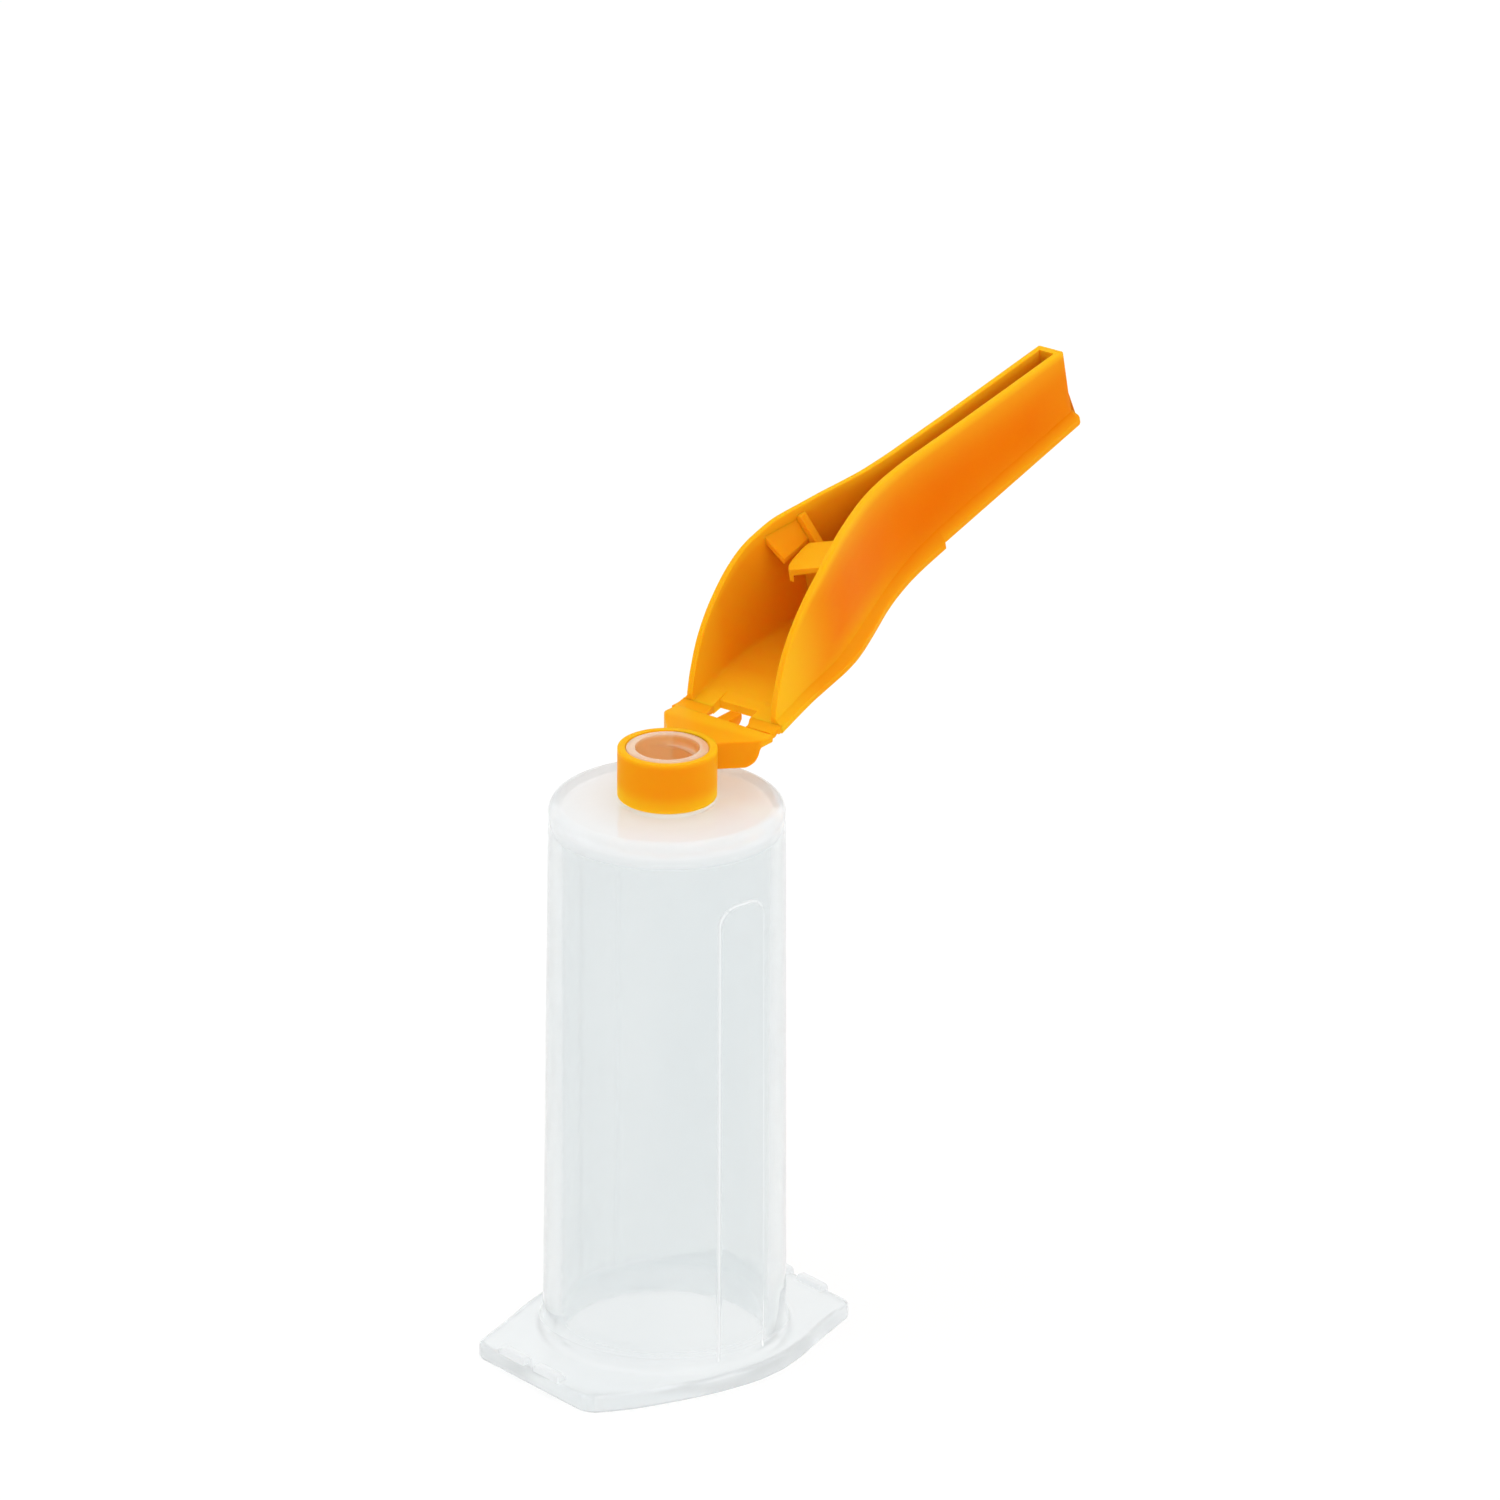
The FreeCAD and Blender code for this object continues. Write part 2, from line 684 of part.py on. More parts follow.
def make_catch():
    """The sprung finger that the needle pushes past and that then holds it down."""
    near, far = size("catch_near"), size("catch_far")
    root_near, root_far = -size("catch_root_near"), -size("catch_root_far")
    tip, thick = size("catch_tip"), size("finger_thickness")
    root_top, tip_top = size("catch_root_depth"), size("catch_tip_depth")
    hook = size("catch_hook")
    sections = []
    for along, root in ((near, root_near), (far, root_far)):
        points = [
            (along, root, root_top),
            (along, root, root_top - thick),
            (along, tip - thick, tip_top - thick),
            (along, tip - thick, tip_top - thick - hook),
            (along, tip, tip_top - thick - hook),
            (along, tip, tip_top),
            (along, root, root_top),
        ]
        sections.append(Part.Wire(lines(points)))
    catch = doc.addObject("Part::Feature", "needle_catch")
    catch.Shape = Part.makeLoft(sections, True, True)
    return node(on_shield(catch), "needle_catch")


def make_catch_web():
    """The thin web between the catch's root and the right wall, which lets the catch bend."""
    near, far = size("catch_near"), size("catch_far")
    root_near, root_far = -size("catch_root_near"), -size("catch_root_far")
    edge = -size("body_half_width")
    points = [(near, root_near, 0), (far, root_far, 0), (far, edge, 0), (near, edge, 0), (near, root_near, 0)]
    strip = extrusion("catch_web_blank", outline("catch_web_plan", lines(points)), Vector(0, 0, 1),
                      "$finger_thickness - 0.2")
    bind(strip, "Placement.Base.z", "$catch_root_depth - $finger_thickness + 0.1")
    web = boolean("Common", "catch_web", strip, cavity_block("catch_web_trim"))
    return node(on_shield(web), "catch_web")


# ---------------------------------------------------------------- build and write
make_flange()
make_grip_ribs()
make_barrel()
make_panels()
make_top_wall()
make_neck()
make_collar()
make_arm()
make_stop_tab()
make_straps()
make_back()
make_spine()
make_walls()
make_end_wall()
make_lock_rib()
make_guide_ramp()
make_catch()
make_catch_web()
doc.recompute()

for item in doc.Objects:
    failed = [state for state in item.State if state in ("Invalid", "Error")]
    assert not failed, f"{item.Label}: {failed}"

os.makedirs("parts", exist_ok=True)
for item in NODES:
    shape = item.Shape
    assert not shape.isNull() and shape.isValid(), item.Label
    assert shape.Solids, item.Label
    shape.exportStep(f"parts/{item.Label}.step")
    box = shape.BoundBox
    print(f"{item.Label:22s} solids {len(shape.Solids)} volume {shape.Volume:9.2f}",
          f"x {box.XMin:7.2f} {box.XMax:7.2f} y {box.YMin:7.2f} {box.YMax:7.2f}",
          f"z {box.ZMin:7.2f} {box.ZMax:7.2f}")
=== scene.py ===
"""Looks of the blood-collection tube holder with its hinged needle shield.

Lengths below are millimetres and become metres in mesh_piece(). The shield's pieces are
made in the shield's own frame (u along it, y along the hinge, v out of its open side).
"""

import json
import math

import bmesh
import bpy
import numpy as np
from mathutils import Matrix, Vector


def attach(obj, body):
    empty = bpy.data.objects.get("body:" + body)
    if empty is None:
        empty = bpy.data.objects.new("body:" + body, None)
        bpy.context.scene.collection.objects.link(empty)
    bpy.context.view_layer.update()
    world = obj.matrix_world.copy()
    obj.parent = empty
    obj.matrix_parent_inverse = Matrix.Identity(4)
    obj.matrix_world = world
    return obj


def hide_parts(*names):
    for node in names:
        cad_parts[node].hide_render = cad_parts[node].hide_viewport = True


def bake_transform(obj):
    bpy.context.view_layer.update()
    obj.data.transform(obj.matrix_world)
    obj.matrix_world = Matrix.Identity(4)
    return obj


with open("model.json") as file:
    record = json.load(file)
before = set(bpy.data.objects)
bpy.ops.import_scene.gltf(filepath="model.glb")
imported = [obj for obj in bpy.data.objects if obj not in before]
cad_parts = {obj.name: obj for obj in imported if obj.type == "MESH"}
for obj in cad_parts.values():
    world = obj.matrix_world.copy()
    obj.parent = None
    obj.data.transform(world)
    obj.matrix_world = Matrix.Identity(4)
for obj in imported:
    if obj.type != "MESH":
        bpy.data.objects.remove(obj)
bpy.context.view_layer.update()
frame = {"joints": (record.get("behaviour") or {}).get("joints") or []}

MM = 0.001
QUARTER = math.pi / 2
WHOLE_TURN = 2 * math.pi
HINGE = [joint for joint in frame["joints"] if joint["name"] == "shield_hinge"][0]
HINGE_X = HINGE["pos_m"][0] / MM
HINGE_Z = HINGE["pos_m"][2] / MM
SHIELD_LEAN = math.radians(13.0)
FLANGE_TURN = math.radians(-14.0)

# Holder: barrel and closed end
BORE = 8.85
FOOT_RADIUS = 10.3
CROWN_RADIUS = 9.92
BARREL_TOP = 49.4
CROWN = 1.4
CEILING = BARREL_TOP - CROWN
SHOULDER = 1.03
INNER_SHOULDER = 0.8
MOUTH_ROUND = 1.0
PANEL_PROUD = 0.24
PANEL_HALF_ANGLE = math.radians(14.5)
PANEL_FACINGS = (-QUARTER, QUARTER)
PANEL_TOP = 43.5
PANEL_CORNER = 1.9
PANEL_EDGE = 0.34

# Holder: flange
FLANGE = 1.6
FLANGE_END = 14.85
FLANGE_LOW_EDGE = 0.3
FLANGE_HIGH_EDGE = 0.35
FLANGE_SIDE = [(13.9, -7.15), (11.9, -8.0), (9.8, -8.9), (6.0, -10.6), (3.1, -11.5), (0.3, -11.8),
               (-2.7, -11.6), (-5.5, -11.1), (-8.6, -10.3), (-11.5, -9.35), (-13.6, -8.3)]
FLANGE_NEAR_CORNER = [(FLANGE_END, -6.1), (14.76, -6.5), (14.62, -6.78), (14.33, -7.0)]
FLANGE_FAR_CORNER = [(-14.2, -7.95), (-14.55, -7.5), (-14.8, -6.9), (-FLANGE_END, -6.4)]
ROOT_FILLET = 1.0
GRIP_RIB_ACROSS = (0.65, 3.85)
GRIP_RIB_ALONG = (13.98, 14.82)
GRIP_RIB_HEIGHT = 0.55
GRIP_RIB_ROUND = 0.22

# Holder: neck
BOSS_RADIUS = 3.95
BOSS_TOP = 49.7
NECK_RADIUS = 3.48
NECK_TOP = 54.2
NECK_BEAD = 0.12
SOCKET = 2.4
THREAD_START = 48.0
THREAD_DEPTH = 0.24
THREAD_PITCH = 2.6
THREAD_ROOT = SOCKET + THREAD_DEPTH

# Collar and arm
COLLAR_INNER = 3.53
COLLAR_OUTER = 4.18
COLLAR_FOOT = 49.76
COLLAR_GROOVE = 0.16
COLLAR_STEPS = 128
ARM_START = 2.9
ARM_MERGED = 5.0
ARM_ROOT_RADIUS = 3.9
ARM_END = 7.65
ARM_HALF = 5.2
ARM_SUNK = 0.05
ARM_TWIST = math.radians(-3.0)
TAB_END = 9.75
TAB_MIDDLE = Vector((8.5, 53.7))

# Living hinges
STRAP_TOP = 0.18
STRAP_LOW = -0.45
STRAP_GROOVE = 0.2
STRAP_OUTER = 5.12
STRAP_START = -0.95
STRAP_FINISH = 0.76
BEND_REACH = 0.45

# Shield
WALL = 0.55
START = 0.65
LENGTH = 49.6
LIP_REACH = 0.5
STEP = 29.4
END_WALL = 0.8
WINDOW = 2.0
WINDOW_DEPTH = 3.4
RIM = [(START, 0.75), (1.45, 2.6), (3.1, 5.2), (5.4, 7.4), (8.4, 9.25), (11.5, 10.35), (14.5, 10.8),
       (18.0, 10.75), (24.4, 10.2), (37.0, 8.93), (LENGTH, 7.77)]
WALL_PLAN = [(0.0, 4.6), (5.0, 4.55), (9.0, 4.42), (12.5, 3.85), (14.4, 3.4), (16.7, 2.8), (19.2, 2.22),
             (21.65, 1.75), (24.4, 1.42), (28.0, 1.28), (LENGTH, 1.28)]
LIP_PLAN = [(0.0, 5.15), (9.5, 5.15), (11.4, 5.02), (13.3, 4.66), (15.0, 4.2), (16.8, 3.68), (18.6, 3.14),
            (20.4, 2.69), (22.3, 2.34), (24.2, 2.1), (26.5, 1.98), (STEP, 1.95)]
SPINE_HALF = 1.75
BURIED = 0.12
SOFT_EDGE = 0.06
SOFT_ANGLE = math.radians(40)

# Catch
CATCH_NEAR = 11.0
CATCH_FAR = 15.15
CATCH_ROOT_NEAR = 3.366
CATCH_ROOT_TAPER = 0.2369

# Studio
FLOOR_HALF = 6.0
FLOOR_DROP = 0.03
WORLD_LIGHT = 0.95
LAMP_AIM = Vector((0, 0, 0.04))
CAMERA_BACK = Vector((-0.7461, -0.5421, 0.3867)).normalized()
CAMERA_AIM = Vector((4.04, -5.56, 53.94)) * MM
CAMERA_DISTANCE = 1.26
CAMERA_ROLL = math.radians(0.424)
CAMERA_LENS = 363.5


# ------------------------------------------------------------------ small tools
def smooth_through(points):
    """A function whose smooth curve passes through the points without overshooting."""
    xs = [p[0] for p in points]
    ys = [p[1] for p in points]
    steps = [(ys[i + 1] - ys[i]) / (xs[i + 1] - xs[i]) for i in range(len(xs) - 1)]
    slopes = [steps[0]]
    for i in range(1, len(steps)):
        before, after = steps[i - 1], steps[i]
        slopes.append(0.0 if before * after <= 0 else 2 * before * after / (before + after))
    slopes.append(steps[-1])

    def value(x):
        x = min(max(x, xs[0]), xs[-1])
        i = min(max(int(np.searchsorted(xs, x)) - 1, 0), len(xs) - 2)
        span = xs[i + 1] - xs[i]
        t = (x - xs[i]) / span
        return ((1 + 2 * t) * (1 - t) ** 2 * ys[i] + t * (1 - t) ** 2 * span * slopes[i]
                + t * t * (3 - 2 * t) * ys[i + 1] + t * t * (t - 1) * span * slopes[i + 1])

    return value


rim_at = smooth_through(RIM)
wall_at = smooth_through(WALL_PLAN)
lip_at = smooth_through(LIP_PLAN)


def smoothstep(low, high, x):
    """0 at low, 1 at high, and a smooth rise between; low may be the larger of the two."""
    t = min(max((x - low) / (high - low), 0.0), 1.0)
    return t * t * (3 - 2 * t)


def quarter_turn(steps, first=0):
    """The sine and cosine at each step of a quarter turn."""
    turns = [QUARTER * k / steps for k in range(first, steps + 1)]
    return [(math.sin(turn), math.cos(turn)) for turn in turns]


def rounded(corners, steps=4):
    """A closed line through corners (a, b, radius); each radius is an arc of steps + 1 points."""
    line = []
    for i, (a, b, radius) in enumerate(corners):
        here = Vector((a, b))
        if radius <= 0:
            line.append((a, b))
            continue
        before = Vector(corners[i - 1][:2])
        after = Vector(corners[(i + 1) % len(corners)][:2])
        to_before, to_after = (before - here).normalized(), (after - here).normalized()
        slope = math.tan(to_before.angle(to_after) / 2)
        cut = min(radius / slope, 0.45 * (before - here).length, 0.45 * (after - here).length)
        reach = cut * slope / math.sin(to_before.angle(to_after) / 2)
        centre = here + (to_before + to_after).normalized() * reach
        start, end = here + to_before * cut - centre, here + to_after * cut - centre
        turn = start.angle_signed(end)
        for k in range(steps + 1):
            share = -turn * k / steps
            x = start.x * math.cos(share) - start.y * math.sin(share)
            y = start.x * math.sin(share) + start.y * math.cos(share)
            line.append((centre.x + x, centre.y + y))
    return line


def turned(x, y, angle):
    """The point (x, y) turned about the origin."""
    return x * math.cos(angle) - y * math.sin(angle), x * math.sin(angle) + y * math.cos(angle)


def to_shield(point):
    """A point (u, y, v) of the shield's frame in the object's frame."""
    u, y, v = point
    x, z = turned(u, v, SHIELD_LEAN)
    return (HINGE_X + x, y, HINGE_Z + z)


def from_shield(point):
    """How far along the shield, and how far out of its open side, a point of the object is."""
    return turned(point.x - HINGE_X, point.z - HINGE_Z, -SHIELD_LEAN)


def loft(sections, caps=True, loop=False):
    """Points and faces of a skin over closed sections that have the same number of points."""
    count = len(sections[0])
    points = [p for section in sections for p in section]
    faces = []
    rows = len(sections) if loop else len(sections) - 1
    for row in range(rows):
        a, b = row * count, ((row + 1) % len(sections)) * count
        for i in range(count):
            j = (i + 1) % count
            faces.append((a + i, a + j, b + j, b + i))
    if caps and not loop:
        last = (len(sections) - 1) * count
        faces.append(tuple(range(count))[::-1])
        faces.append(tuple(range(last, last + count)))
    return points, faces


def loft_along_shield(stations, outline_at):
    """A skin over the outlines (y, v) that a function gives at each station of the shield."""
    return loft([[to_shield((u, y, v)) for y, v in outline_at(u)] for u in stations])


def mesh_piece(name, points, faces, material, sharp):
    """A new smooth-shaded object from points in millimetres."""
    mesh = bpy.data.meshes.new(name)
    mesh.from_pydata([Vector(p) * MM for p in points], [], faces)
    cleaned = bmesh.new()
    cleaned.from_mesh(mesh)
    bmesh.ops.remove_doubles(cleaned, verts=cleaned.verts, dist=1e-7)
    bmesh.ops.dissolve_degenerate(cleaned, edges=cleaned.edges, dist=1e-8)
    bmesh.ops.recalc_face_normals(cleaned, faces=cleaned.faces)
    cleaned.to_mesh(mesh)
    cleaned.free()
    mesh.shade_smooth()
    mesh.set_sharp_from_angle(angle=math.radians(sharp))
    piece = bpy.data.objects.new(name, mesh)
    bpy.context.scene.collection.objects.link(piece)
    piece.data.materials.append(material)
    return piece


def store_share(piece, name, share):
    """Stores a value for each point that the material reads; share takes a point in mm."""
    attribute = piece.data.attributes.new(name, "FLOAT", "POINT")
    attribute.data.foreach_set("value", [share(v.co / MM) for v in piece.data.vertices])


def clear_piece(name, points, faces, haze_and_edge_lines, sharp=32):
    """A piece of the clear moulding; the last share says how milky each point is, and also carries painted
    bright lines at the holder's panel edges.
    """
    piece = mesh_piece(name, points, faces, CLEAR, sharp)
    store_share(piece, "haze_and_edge_lines", haze_and_edge_lines)
    return piece


def orange_piece(name, points, faces, painted_glow, sharp=32):
    """A piece of the orange moulding; the last share is painted glow: how much paler and yellower each point
    is painted, standing in for light that shines through the plastic.
    """
    piece = mesh_piece(name, points, faces, ORANGE, sharp)
    store_share(piece, "painted_glow", painted_glow)
    return piece


def soften(piece):
    """Small rounding along every sharp edge of a piece."""
    bevel = piece.modifiers.new("soften", "BEVEL")
    bevel.width = SOFT_EDGE * MM
    bevel.segments = 3
    bevel.limit_method = "ANGLE"
    bevel.angle_limit = SOFT_ANGLE
    bevel.use_clamp_overlap = True
    bevel.miter_outer = "MITER_ARC"


# ------------------------------------------------------------------ materials
def new_material(name):
    """A material with one Principled shader; gives the material, its tree and the shader."""
    material = bpy.data.materials.new(name)
    material.use_nodes = True
    tree = material.node_tree
    tree.nodes.clear()
    out = tree.nodes.new("ShaderNodeOutputMaterial")
    shader = tree.nodes.new("ShaderNodeBsdfPrincipled")
    tree.links.new(shader.outputs["BSDF"], out.inputs["Surface"])
    return material, tree, shader


def noise(tree, scale, detail=3.0, roughness=0.5, stretch=(1, 1, 1)):
    """Noise in object coordinates; scale is in features per metre."""
    where = tree.nodes.new("ShaderNodeTexCoord")
    mapping = tree.nodes.new("ShaderNodeMapping")
    mapping.inputs["Scale"].default_value = stretch
    texture = tree.nodes.new("ShaderNodeTexNoise")
    texture.inputs["Scale"].default_value = scale
    texture.inputs["Detail"].default_value = detail
    texture.inputs["Roughness"].default_value = roughness
    tree.links.new(where.outputs["Object"], mapping.inputs["Vector"])
    tree.links.new(mapping.outputs["Vector"], texture.inputs["Vector"])
    return texture.outputs["Fac"]


def two_tone(tree, source, low, high):
    """A colour between two (place, colour) stops, chosen by the source."""
    node = tree.nodes.new("ShaderNodeValToRGB")
    for element, (place, colour) in zip(node.color_ramp.elements, (low, high)):
        element.position = place
        element.color = (*colour, 1.0)
    tree.links.new(source, node.inputs["Fac"])
    return node.outputs["Color"]


def stored(tree, name):
    """The share that store_share() put on the mesh."""
    node = tree.nodes.new("ShaderNodeAttribute")
    node.attribute_name = name
    return node.outputs["Fac"]


def tinted(tree, base, share, colour):
    """The base colour, mixed towards another one by a share."""
    node = tree.nodes.new("ShaderNodeMix")
    node.data_type = "RGBA"
    node.inputs["B"].default_value = (*colour, 1.0)
    tree.links.new(share, node.inputs["Factor"])
    tree.links.new(base, node.inputs["A"])
    return node.outputs["Result"]


def spread(tree, source, low, high):
    """The source's 0 to 1 as low to high."""
    node = tree.nodes.new("ShaderNodeMapRange")
    node.inputs["To Min"].default_value = low
    node.inputs["To Max"].default_value = high
    tree.links.new(source, node.inputs["Value"])
    return node.outputs["Result"]


def bump(tree, shader, source, strength, distance=0.0002):
    """A fine mould texture; distance is in metres."""
    node = tree.nodes.new("ShaderNodeBump")
    node.inputs["Strength"].default_value = strength
    node.inputs["Distance"].default_value = distance
    tree.links.new(source, node.inputs["Height"])
    tree.links.new(node.outputs["Normal"], shader.inputs["Normal"])


def let_light_through(tree, shader, tint):
    """Light that falls on what is behind the plastic passes straight through it."""
    path = tree.nodes.new("ShaderNodeLightPath")
    either = tree.nodes.new("ShaderNodeMath")
    either.operation = "MAXIMUM"
    tree.links.new(path.outputs["Is Shadow Ray"], either.inputs[0])
    tree.links.new(path.outputs["Is Diffuse Ray"], either.inputs[1])
    open_way = tree.nodes.new("ShaderNodeBsdfTransparent")
    open_way.inputs["Color"].default_value = (*tint, 1.0)
    mix = tree.nodes.new("ShaderNodeMixShader")
    tree.links.new(either.outputs["Value"], mix.inputs["Fac"])
    tree.links.new(shader.outputs["BSDF"], mix.inputs[1])
    tree.links.new(open_way.outputs["BSDF"], mix.inputs[2])
    out = [node for node in tree.nodes if node.type == "OUTPUT_MATERIAL"][0]
    tree.links.new(mix.outputs["Shader"], out.inputs["Surface"])


def clear_plastic():
    """Natural polypropylene: lets light through, milky where thick, with a faint mould texture; it also
    carries painted bright lines at the panel edges and a painted orange glow of the collar seen through the
    neck.
    """
    material, tree, shader = new_material("clear_plastic")
    cloud = noise(tree, 90.0, 4.0, 0.55, (1, 1, 0.4))
    colour = two_tone(tree, cloud, (0.3, (0.83, 0.862, 0.87)), (0.7, (0.865, 0.89, 0.895)))
    haze_and_edge_lines = stored(tree, "haze_and_edge_lines")
    # Milky white, which also paints bright lines along the panel edges.
    colour = tinted(tree, colour, haze_and_edge_lines, (0.88, 0.893, 0.90))
    # Painted glow: orange light of the collar, seen through the clear neck.
    colour = tinted(tree, colour, stored(tree, "painted_collar_glow"), (0.98, 0.56, 0.22))
    tree.links.new(colour, shader.inputs["Base Color"])
    tree.links.new(spread(tree, noise(tree, 1500.0, 2.0), 0.07, 0.12), shader.inputs["Roughness"])
    tree.links.new(spread(tree, haze_and_edge_lines, 0.8, 0.3), shader.inputs["Transmission Weight"])
    shader.inputs["IOR"].default_value = 1.40
    bump(tree, shader, noise(tree, 700.0, 2.0), 0.06)
    let_light_through(tree, shader, (0.985, 0.99, 0.992))
    return material


def orange_plastic():
    """Orange polypropylene: light soaks into it; its paler, yellower look at edges, rims, the hinge and
    inside the channel is painted glow, standing in for light that shines through the plastic.
    """
    material, tree, shader = new_material("orange_plastic")
    cloud = noise(tree, 120.0)
    colour = two_tone(tree, cloud, (0.3, (0.82, 0.155, 0.0)), (0.7, (0.84, 0.175, 0.0)))
    # Painted glow: the stored share mixes in a pale yellow orange where light would shine through.
    colour = tinted(tree, colour, stored(tree, "painted_glow"), (0.92, 0.47, 0.012))
    tree.links.new(colour, shader.inputs["Base Color"])
    tree.links.new(spread(tree, noise(tree, 1200.0, 2.0), 0.30, 0.42), shader.inputs["Roughness"])
    shader.inputs["Subsurface Weight"].default_value = 1.0
    shader.inputs["Subsurface Radius"].default_value = (1.0, 0.4, 0.08)
    shader.inputs["Subsurface Scale"].default_value = 0.0003
    shader.inputs["Specular IOR Level"].default_value = 0.01
    bump(tree, shader, noise(tree, 900.0, 2.0), 0.05)
    return material


def floor_material():
    """A plain pale matt floor."""
    material, tree, shader = new_material("studio_floor")
    shade = two_tone(tree, noise(tree, 6.0), (0.0, (0.93, 0.93, 0.93)), (1.0, (0.95, 0.95, 0.95)))
    tree.links.new(shade, shader.inputs["Base Color"])
    shader.inputs["Roughness"].default_value = 0.9
    shader.inputs["Specular IOR Level"].default_value = 0.1
    return material


CLEAR = clear_plastic()
ORANGE = orange_plastic()


# ------------------------------------------------------------------ holder
def flange_reach():
    """The flange's outline, as its distance from the axis against the angle, and its corners' angles."""
    side = smooth_through(FLANGE_SIDE[::-1])
    bulge = [(x, side(x)) for x in np.linspace(FLANGE_SIDE[0][0], FLANGE_SIDE[-1][0], 90)]
    low, high = FLANGE_FAR_CORNER[-1][1], -FLANGE_NEAR_CORNER[0][1]
    straight = [(-FLANGE_END, y) for y in np.linspace(low, high, 60)[1:-1]]
    line = FLANGE_NEAR_CORNER + bulge + FLANGE_FAR_CORNER + straight
    line += [(-x, -y) for x, y in line]
    angles = np.unwrap([math.atan2(y, x) for x, y in line])
    order = np.argsort(angles)
    angles = angles[order]
    reach = np.array([math.hypot(x, y) for x, y in line])[order]

    def value(angle):
        return float(np.interp(angle, angles, reach, period=WHOLE_TURN))

    corners = [math.atan2(y, x) for x, y in FLANGE_NEAR_CORNER + FLANGE_FAR_CORNER]
    corners += [angle + math.pi for angle in corners]
    return value, corners


def panel_share(angle, height):
    """How much a point of the barrel is raised: 1 on a side panel, 0 off it."""
    half = PANEL_HALF_ANGLE * CROWN_RADIUS
    best = 0.0
    for facing in PANEL_FACINGS:
        across = abs((angle - facing + math.pi) % WHOLE_TURN - math.pi) * CROWN_RADIUS
        dx = across - (half - PANEL_CORNER)
        dz = height - (PANEL_TOP - PANEL_CORNER)
        if dx > 0 and dz > 0:
            out = math.hypot(dx, dz) - PANEL_CORNER
        else:
            out = max(across - half, height - PANEL_TOP)
        best = max(best, 1.0 - smoothstep(-PANEL_EDGE, 0.0, out))
    return best


def holder_haze_and_edge_lines(p):
    """How milky the clear plastic is, most at thick places and the thread's crest, plus painted bright lines
    at the panel edges that stand in for light bent at the step.
    """
    far = math.hypot(p.x, p.y)
    shoulder = BARREL_TOP - SHOULDER
    if p.z > BARREL_TOP and far < NECK_RADIUS + 0.2:
        on_thread = far < THREAD_ROOT + 0.02
        return 0.6 + 0.4 * thread_crest(far) if on_thread else 0.75
    if p.z > shoulder - 1.5:
        return 0.75 * smoothstep(shoulder - 1.5, shoulder, p.z)
    low = 0.3 * (1 - smoothstep(FLANGE - 0.2, FLANGE + 2.5, p.z))
    edge = 0.0
    # Painted bright lines: a band of extra milkiness along each panel edge.
    if far > BORE + 0.5 and p.z > FLANGE + 0.5:
        share = panel_share(math.atan2(p.y, p.x) - FLANGE_TURN, p.z)
        edge = 4 * share * (1 - share)
    return min(max(low, edge), 1.0)


def holder_painted_collar_glow(p):
    """How much painted orange glow the neck gets, standing in for the collar's light seen through the clear
    plastic; the thread's crest stays paler.
    """
    far = math.hypot(p.x, p.y)
    if far > NECK_RADIUS + 0.2:
        return 0.0
    crest = thread_crest(far) * (far < THREAD_ROOT + 0.02)
    inside = 0.35 * smoothstep(THREAD_ROOT + 0.1, THREAD_ROOT, far)
    return (0.6 + inside - 0.4 * crest) * smoothstep(BARREL_TOP - 0.5, BARREL_TOP + 0.8, p.z)


def thread_crest(far):
    """1 on the thread's crest, 0 at its root."""
    return smoothstep(SOCKET + 0.6 * THREAD_DEPTH, SOCKET, far)


def even_steps(low, high, step):
    """The values a step apart from low to high, both included."""
    return {round(float(value), 5) for value in [*np.arange(low, high, step), high]}


def holder_angles(corners):
    """Angles round the axis: even ones, and finer ones at panel edges and flange corners."""
    angles = {round(float(angle), 5) for angle in np.arange(0, WHOLE_TURN, math.radians(2.0))}
    panel_edges = [facing + side * PANEL_HALF_ANGLE for facing in PANEL_FACINGS for side in (-1, 1)]
    for spots, reach, count in ((panel_edges, 0.06, 13), (corners, 0.04, 9)):
        for spot in spots:
            for step in np.linspace(-reach, reach, count):
                angles.add(round(float((spot + step) % WHOLE_TURN), 5))
    return sorted(angles)


def holder_heights():
    """Heights up the barrel's outside: even ones, and finer ones at the panels' rounded tops."""
    heights = even_steps(FLANGE + ROOT_FILLET, BARREL_TOP - SHOULDER, 1.2)
    heights |= even_steps(PANEL_TOP - 0.52, PANEL_TOP + 0.32, 0.07)
    heights |= even_steps(PANEL_TOP - PANEL_CORNER - 0.2, PANEL_TOP, 0.16)
    return sorted(heights)


def outer_radius(z):
    """The barrel's outer radius, which shrinks upwards by its draft."""
    return FOOT_RADIUS - (FOOT_RADIUS - CROWN_RADIUS) / BARREL_TOP * z


def flange_line(far):
    """The section (radius, height) from under the flange, round its edge and up the root fillet."""
    mouth = BORE + MOUTH_ROUND
    root = outer_radius(FLANGE) + ROOT_FILLET
    line = [(mouth, 0.0), (0.5 * (mouth + far), 0.0)]
    line += [(far - FLANGE_LOW_EDGE + FLANGE_LOW_EDGE * s, FLANGE_LOW_EDGE - FLANGE_LOW_EDGE * c)
             for s, c in quarter_turn(4)]
    line += [(far - FLANGE_HIGH_EDGE + FLANGE_HIGH_EDGE * c,
              FLANGE - FLANGE_HIGH_EDGE + FLANGE_HIGH_EDGE * s) for s, c in quarter_turn(4)]
    line.append((0.5 * (root + far), FLANGE))
    line += [(root - ROOT_FILLET * s, FLANGE + ROOT_FILLET * (1 - c)) for s, c in quarter_turn(6)]
    return line


def barrel_line(angle, heights):
    """The section up the barrel's outside and over its shoulder."""
    foot = FLANGE + ROOT_FILLET
    line = []
    for z in heights[1:]:
        proud = PANEL_PROUD * panel_share(angle, z) * smoothstep(foot, foot + 0.5, z)
        line.append((outer_radius(z) + proud, z))
    shoulder = BARREL_TOP - SHOULDER
    crown = outer_radius(shoulder) - SHOULDER
    line += [(crown + SHOULDER * c, shoulder + SHOULDER * s) for s, c in quarter_turn(8, first=1)]
    return line


